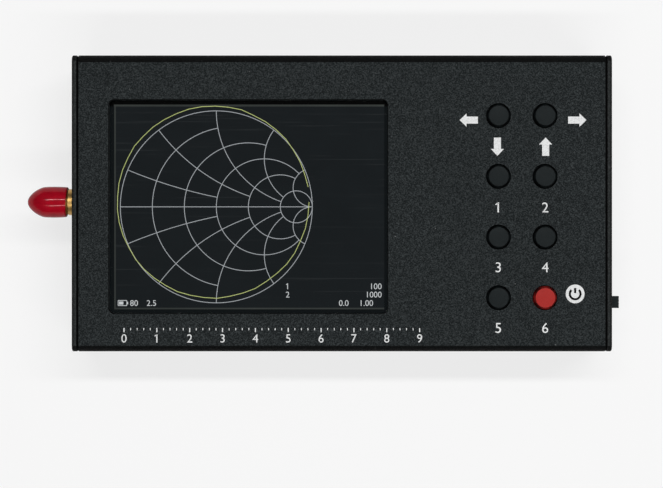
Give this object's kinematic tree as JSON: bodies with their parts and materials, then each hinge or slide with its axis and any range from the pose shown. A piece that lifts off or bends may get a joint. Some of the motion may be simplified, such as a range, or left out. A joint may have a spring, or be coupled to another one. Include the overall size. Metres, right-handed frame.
{
  "type": "antenna analyzer",
  "caption": "Handheld antenna analyzer in a flat split metal case, with a wide touch display, round keys, a slide switch and a capped threaded radio socket.",
  "frame": {"origin": "centre of the case's flat rear face, with the analyzer lying on its back", "axes": "+X along the case from the radio socket to the slide switch, +Y to the top edge, +Z out of the front face"},
  "size_m": [0.1438, 0.0714, 0.0264],
  "materials": {
    "case_black": "fine matt black texture over aluminium",
    "plate_black": "satin black",
    "screw_black": "black finish, slight gloss",
    "gasket_foam": "closed-cell black foam",
    "touch_glass": "clear with a soft anti-glare face",
    "display_glass": "dark display with a thin chart on it",
    "white_plastic": "moulded off-white",
    "flex_amber": "amber film",
    "socket_plastic": "moulded cream",
    "board_green": "green solder mask",
    "chip_black": "moulded black",
    "tinned_steel": "bright tinned sheet",
    "key_black": "satin black moulding",
    "key_red": "satin red moulding",
    "gold_plate": "bright gold plate",
    "insulator_white": "smooth white",
    "cap_red": "glossy soft deep red",
    "battery_foil": "dull foil pouch",
    "lead_red": "insulated wire"
  },
  "bodies": {
    "case": {"front_shell": "case_black", "rear_shell": "case_black", "left_end_plate": "plate_black", "right_end_plate": "plate_black", "left_plate_screws": "screw_black", "right_plate_screws": "screw_black", "display_gasket": "gasket_foam", "touch_panel": "touch_glass", "display_cell": "display_glass", "backlight_frame": "white_plastic", "display_tape": "gasket_foam", "display_flex": "flex_amber", "flex_socket": "socket_plastic", "main_board": "board_green", "board_chips": "chip_black", "shield_frame": "tinned_steel", "shield_lid": "tinned_steel", "key_switch_bases": "chip_black", "key_switch_covers": "tinned_steel", "slide_switch_can": "tinned_steel", "port_shell": "tinned_steel", "port_tongue": "chip_black", "socket_body": "gold_plate", "socket_insulator": "insulator_white", "socket_contact": "gold_plate", "battery_cell": "battery_foil", "battery_tape": "gasket_foam", "battery_lead": "lead_red", "battery_plug": "white_plastic", "battery_header": "white_plastic"},
    "cap": {"dust_cap": "cap_red"},
    "slider": {"slide_switch_knob": "key_black"},
    "key_left": {"key_left_cap": "key_black", "key_left_plunger": "chip_black"},
    "key_right": {"key_right_cap": "key_black", "key_right_plunger": "chip_black"},
    "key_1": {"key_1_cap": "key_black", "key_1_plunger": "chip_black"},
    "key_2": {"key_2_cap": "key_black", "key_2_plunger": "chip_black"},
    "key_3": {"key_3_cap": "key_black", "key_3_plunger": "chip_black"},
    "key_4": {"key_4_cap": "key_black", "key_4_plunger": "chip_black"},
    "key_5": {"key_5_cap": "key_black", "key_5_plunger": "chip_black"},
    "key_power": {"key_power_cap": "key_red", "key_power_plunger": "chip_black"}
  },
  "joints": [
    {"name": "cap_pull", "type": "slide", "parent": "case", "child": "cap", "axis": [-1, 0, 0], "range_m": [0, 0.02]},
    {"name": "slider_throw", "type": "slide", "parent": "case", "child": "slider", "axis": [0, 1, 0], "range_m": [0, 0.002]},
    {"name": "key_left_press", "type": "slide", "parent": "case", "child": "key_left", "axis": [0, 0, -1], "range_m": [0, 0.0003], "stiffness_N_per_m": 3300, "springref_m": -0.00018},
    {"name": "key_right_press", "type": "slide", "parent": "case", "child": "key_right", "axis": [0, 0, -1], "range_m": [0, 0.0003], "stiffness_N_per_m": 3300, "springref_m": -0.00018},
    {"name": "key_1_press", "type": "slide", "parent": "case", "child": "key_1", "axis": [0, 0, -1], "range_m": [0, 0.0003], "stiffness_N_per_m": 3300, "springref_m": -0.00018},
    {"name": "key_2_press", "type": "slide", "parent": "case", "child": "key_2", "axis": [0, 0, -1], "range_m": [0, 0.0003], "stiffness_N_per_m": 3300, "springref_m": -0.00018},
    {"name": "key_3_press", "type": "slide", "parent": "case", "child": "key_3", "axis": [0, 0, -1], "range_m": [0, 0.0003], "stiffness_N_per_m": 3300, "springref_m": -0.00018},
    {"name": "key_4_press", "type": "slide", "parent": "case", "child": "key_4", "axis": [0, 0, -1], "range_m": [0, 0.0003], "stiffness_N_per_m": 3300, "springref_m": -0.00018},
    {"name": "key_5_press", "type": "slide", "parent": "case", "child": "key_5", "axis": [0, 0, -1], "range_m": [0, 0.0003], "stiffness_N_per_m": 3300, "springref_m": -0.00018},
    {"name": "key_power_press", "type": "slide", "parent": "case", "child": "key_power", "axis": [0, 0, -1], "range_m": [0, 0.0003], "stiffness_N_per_m": 3300, "springref_m": -0.00018}
  ]
}
